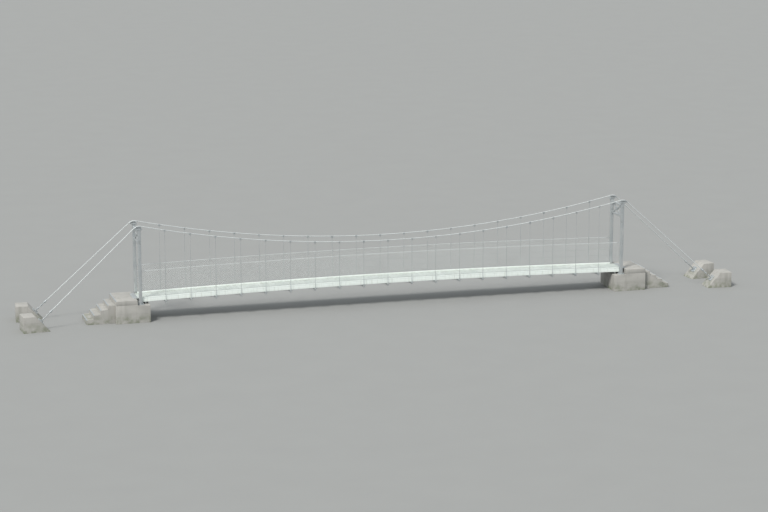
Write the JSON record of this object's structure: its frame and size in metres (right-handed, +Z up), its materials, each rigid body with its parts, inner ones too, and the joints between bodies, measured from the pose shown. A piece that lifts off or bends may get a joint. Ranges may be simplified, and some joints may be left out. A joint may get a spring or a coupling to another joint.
{
  "type": "suspension footbridge",
  "caption": "Suspension footbridge: a narrow pale steel deck with netted sides hangs on rods from wire ropes that pass over portal towers to concrete anchor blocks.",
  "frame": {"origin": "on the ground under the middle of the span, half-way between the two sides", "axes": "+X along the walk towards the east tower, +Y towards the north side, +Z up"},
  "size_m": [29.3918, 2.6642, 3.7898],
  "materials": {
    "concrete": "weathered cast concrete with board marks and damp, green-tinged feet",
    "galvanised_steel": "dull hot-dip galvanised steel with a faint spangle",
    "wire_rope": "galvanised laid wire rope, dulled by weather",
    "deck_plank": "pale ribbed metal planks with a satin sheen",
    "pale_paint": "off-white paint, slightly weathered"
  },
  "bodies": {
    "root": {"abutment_east": "concrete", "abutment_west": "concrete", "steps_east": "concrete", "steps_west": "concrete", "anchor_block_east_north": "concrete", "anchor_block_east_south": "concrete", "anchor_block_west_north": "concrete", "anchor_block_west_south": "concrete", "anchor_rod_east_north": "galvanised_steel", "anchor_rod_east_south": "galvanised_steel", "anchor_rod_west_north": "galvanised_steel", "anchor_rod_west_south": "galvanised_steel", "tower_leg_east_north": "galvanised_steel", "tower_leg_east_south": "galvanised_steel", "tower_leg_west_north": "galvanised_steel", "tower_leg_west_south": "galvanised_steel", "tower_head_east": "galvanised_steel", "tower_head_west": "galvanised_steel", "saddle_east_north": "galvanised_steel", "saddle_east_south": "galvanised_steel", "saddle_west_north": "galvanised_steel", "saddle_west_south": "galvanised_steel", "main_cable_north": "wire_rope", "main_cable_south": "wire_rope", "hand_rope_north": "wire_rope", "hand_rope_south": "wire_rope", "side_panel_north_1": "galvanised_steel", "side_panel_north_2": "galvanised_steel", "side_panel_north_3": "galvanised_steel", "side_panel_north_4": "galvanised_steel", "side_panel_north_5": "galvanised_steel", "side_panel_south_1": "galvanised_steel", "side_panel_south_2": "galvanised_steel", "side_panel_south_3": "galvanised_steel", "side_panel_south_4": "galvanised_steel", "side_panel_south_5": "galvanised_steel", "deck_frame": "galvanised_steel", "deck_panel_1": "deck_plank", "deck_panel_2": "deck_plank", "deck_panel_3": "deck_plank", "deck_panel_4": "deck_plank", "deck_panel_5": "deck_plank", "kerb_north": "pale_paint", "kerb_south": "pale_paint"}
  },
  "joints": []
}
